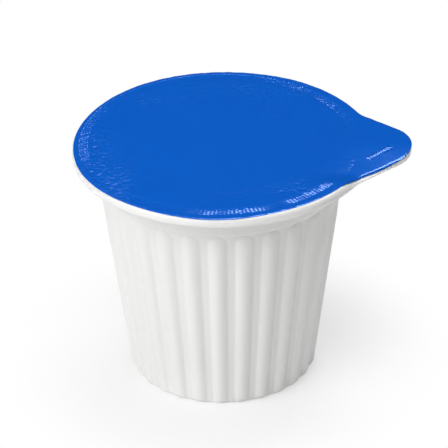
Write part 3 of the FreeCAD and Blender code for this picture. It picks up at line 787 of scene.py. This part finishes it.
def lacquered_foil():
    """Aluminium foil under blue lacquer: a deep even blue, with sharp glints only where it is creased."""
    material, tree = new_finish("lacquered_foil")
    place = add(tree, "ShaderNodeTexCoord").outputs["Object"]
    # Clouds about 8 mm wide in the lacquer, and a gloss that varies over about 0.7 mm.
    cloud = add(tree, "ShaderNodeTexNoise", {"Vector": place, "Scale": 0.12 / MM, "Detail": 3.0})
    tint = add(
        tree, "ShaderNodeMix", {"Factor": cloud, 6: linear("#0060D2"), 7: linear("#0265D8")},
        data_type="RGBA")
    grain = add(tree, "ShaderNodeTexNoise", {"Vector": place, "Scale": 1.5 / MM, "Detail": 4.0})
    rough = add(tree, "ShaderNodeMapRange", {0: grain, 3: 0.15, 4: 0.22})
    # Crinkles about 0.7 mm apart, strongest in places about 9 mm wide.
    crinkle = add(tree, "ShaderNodeTexNoise", {"Vector": place, "Scale": 1.5 / MM, "Detail": 3.0})
    places = add(tree, "ShaderNodeTexNoise", {"Vector": place, "Scale": 0.11 / MM, "Detail": 1.0})
    gathered = add(
        tree, "ShaderNodeMapRange",
        {0: places, 1: CRINKLE_NONE, 2: CRINKLE_MOST, 3: CRINKLE_LEAST, 4: 1.0})
    span = add(tree, "ShaderNodeVectorMath", {0: place}, operation="LENGTH").outputs["Value"]
    outwards = add(
        tree, "ShaderNodeMapRange", {0: span, 1: MIDDLE_FROM, 2: MIDDLE_TO, 3: MIDDLE_CRINKLE, 4: 1.0},
        interpolation_type="SMOOTHSTEP")
    along = add(tree, "ShaderNodeSeparateXYZ", {0: place}).outputs["X"]
    off_tab = add(
        tree, "ShaderNodeMapRange", {0: along, 1: TAB_FROM, 2: TAB_TO, 3: 1.0, 4: TAB_CRINKLE},
        interpolation_type="SMOOTHSTEP")
    crinkled = add(tree, "ShaderNodeMath", {0: gathered, 1: outwards}, operation="MULTIPLY")
    strength = add(tree, "ShaderNodeMath", {0: crinkled, 1: off_tab}, operation="MULTIPLY")
    creased = add(
        tree, "ShaderNodeBump", {"Height": crinkle, "Strength": strength, "Distance": CRINKLE_DEEP})
    marks = grip_marks(tree, place)
    bump = add(tree, "ShaderNodeBump", {"Height": marks, "Distance": MM, "Normal": creased})
    shader = add(
        tree, "ShaderNodeBsdfPrincipled",
        {"Base Color": tint.outputs[2], "Metallic": 0.05, "Roughness": rough, "Normal": bump,
         "Specular IOR Level": 1.0, "Specular Tint": linear("#BCDCFF")})
    add(tree, "ShaderNodeOutputMaterial", {"Surface": shader})
    return material


# The pieces --------------------------------------------------------------------------------------

cup = made("ribbed_cup", cup_tree(), {
    "Section": section_mesh("cup_section", cup_rows(), "rib"),
    "Outline": outline_curve("flange_outline", FLANGE, TAB_REACH, (FLANGE_FAR, FLANGE_NEAR)),
    "Finish": moulded_polystyrene(),
    "Rim": FLANGE,
    "Columns": CUP_COLUMNS,
    "Ribs": RIBS,
    "First rib": RIB_TURN,
    "Root softness": RIB_SOFTNESS,
})
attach(cup, "root")
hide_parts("cup")

lid = made("foil_lid", foil_tree(), {
    "Section": section_mesh("foil_section", foil_rows(), "fold"),
    "Outline": outline_curve(
        "foil_outline", FOIL_RIM, FOIL_TIP, (FOIL_FAR, FOIL_NEAR), FOIL_SHIFT, FOIL_STRAY),
    "Finish": lacquered_foil(),
    "Rim": FOIL_RIM,
    "Columns": FOIL_COLUMNS,
    "Seal inner": SEAL_INNER,
    "Seal outer": SEAL_OUTER,
    "Seal depth": SEAL_DEPTH,
    "Knurls": KNURLS,
    "Knurl height": KNURL_HEIGHT,
    "Crease height": CREASE_HEIGHT,
})
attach(lid, "root")
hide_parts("lid")


# Floor, light and camera -------------------------------------------------------------------------

# The board is half plain white as far out as SHADOW_FULL, and all plain white from SHADOW_END on.
FLOOR_HALF = 4
SHADOW_FULL, SHADOW_END = 12 * MM, 32 * MM
SHADOW_WHITE = 0.5


def floor_finish():
    """White studio board: plain diffuse near the cup, where its shadow lies, and plain white beyond."""
    material, tree = new_finish("studio_board")
    place = add(tree, "ShaderNodeTexCoord").outputs["Object"]
    span = add(tree, "ShaderNodeVectorMath", {0: place}, operation="LENGTH").outputs["Value"]
    far = add(
        tree, "ShaderNodeMapRange", {0: span, 1: SHADOW_FULL, 2: SHADOW_END, 3: SHADOW_WHITE, 4: 1.0},
        interpolation_type="SMOOTHSTEP")
    ray = add(tree, "ShaderNodeLightPath").outputs
    seen = add(
        tree, "ShaderNodeMath", {0: ray["Is Camera Ray"], 1: ray["Is Glossy Ray"]}, operation="MAXIMUM")
    shown = add(tree, "ShaderNodeMath", {0: seen, 1: ray["Is Transmission Ray"]}, operation="MAXIMUM")
    blank = add(tree, "ShaderNodeMath", {0: shown, 1: far}, operation="MULTIPLY")
    board = add(tree, "ShaderNodeBsdfDiffuse", {"Color": linear("#F2F2F2")})
    white = add(tree, "ShaderNodeEmission", {"Strength": 1.0})
    mixed = add(tree, "ShaderNodeMixShader", {0: blank, 1: board, 2: white})
    add(tree, "ShaderNodeOutputMaterial", {"Surface": mixed})
    return material


floor_mesh = bpy.data.meshes.new("floor")
corners = [(x * FLOOR_HALF, y * FLOOR_HALF, 0) for x, y in ((-1, -1), (1, -1), (1, 1), (-1, 1))]
floor_mesh.from_pydata(corners, [], [(0, 1, 2, 3)])
floor_mesh.materials.append(floor_finish())
floor = bpy.data.objects.new("floor", floor_mesh)
scene.collection.objects.link(floor)


def lamp(name, bearing, elevation, distance, width, height, power):
    """A soft lamp that faces the cup: angles in degrees, lengths in metres, power in watts."""
    data = bpy.data.lights.new(name, "AREA")
    data.shape = "RECTANGLE"
    data.size = width
    data.size_y = height
    data.energy = power
    turn, lift = radians(bearing), radians(elevation)
    towards = Vector((cos(turn) * cos(lift), sin(turn) * cos(lift), sin(lift)))
    holder = bpy.data.objects.new(name, data)
    holder.location = towards * distance
    holder.rotation_mode = "QUATERNION"
    holder.rotation_quaternion = towards.to_track_quat("Z", "Y")
    scene.collection.objects.link(holder)


lamp("left_softbox", -150, 35, 0.8, 0.5, 0.5, 2.5)
lamp("front_softbox", -120, 45, 0.8, 0.5, 0.5, 1.8)
lamp("overhead_softbox", -90, 65, 0.8, 0.5, 0.5, 1.8)
# The strip behind the cup is what the front ridges of the sealing band glint with.
lamp("back_strip", 67, 60.5, 0.9, 0.5, 0.18, 3.0)

# The dark card behind the cup: its elevation, the cosines between which the room goes over to it, and
# the strength of the room and of the card.
CARD = radians(31)
CARD_EDGE, CARD_FULL = 0.3, 0.94
ROOM_LIGHT, CARD_LIGHT = 0.06, 0.03


def studio_world():
    """A dim room all round and a darker card behind, which keeps the foil's blue deep."""
    studio = bpy.data.worlds.new("studio")
    studio.use_nodes = True
    tree = studio.node_tree
    tree.nodes.clear()
    towards = add(tree, "ShaderNodeTexCoord").outputs["Generated"]
    behind = add(
        tree, "ShaderNodeVectorMath", {0: towards, 1: (0, cos(CARD), sin(CARD))},
        operation="DOT_PRODUCT").outputs["Value"]
    level = add(
        tree, "ShaderNodeMapRange", {0: behind, 1: CARD_EDGE, 2: CARD_FULL, 3: ROOM_LIGHT, 4: CARD_LIGHT},
        interpolation_type="SMOOTHSTEP")
    light = add(tree, "ShaderNodeBackground", {"Color": (1, 1, 1, 1), "Strength": level})
    add(tree, "ShaderNodeOutputWorld", {"Surface": light})
    return studio


scene.world = studio_world()
scene.view_settings.view_transform = "Standard"

# The camera stands a little to the right of square on and well above, with a long lens. It turns
# about a point half way up the cup, aims a little off it, and is hardly tilted.
AZIMUTH, ELEVATION, TILT = radians(2.07), radians(31.48), radians(0.89)
CAMERA_DISTANCE = 0.6
CAMERA_LENS = 366.3
CAMERA_NEAREST = 0.01
HALF_WAY = 15 * MM
AIM_UP, AIM_RIGHT = 4.64 * MM, 0.316 * MM
back = Vector((sin(AZIMUTH) * cos(ELEVATION), -cos(AZIMUTH) * cos(ELEVATION), sin(ELEVATION)))
right = Vector((cos(AZIMUTH), sin(AZIMUTH), 0))
middle = Vector((0, 0, HALF_WAY))
aim = middle + back.cross(right) * AIM_UP + right * AIM_RIGHT
camera_data = bpy.data.cameras.new("camera")
camera_data.lens = CAMERA_LENS
camera_data.clip_start = CAMERA_NEAREST
camera = bpy.data.objects.new("camera", camera_data)
camera.location = middle + back * CAMERA_DISTANCE
camera.rotation_mode = "QUATERNION"
upright = (camera.location - aim).to_track_quat("Z", "Y")
camera.rotation_quaternion = upright @ Quaternion((0, 0, 1), -TILT)
scene.collection.objects.link(camera)
scene.camera = camera
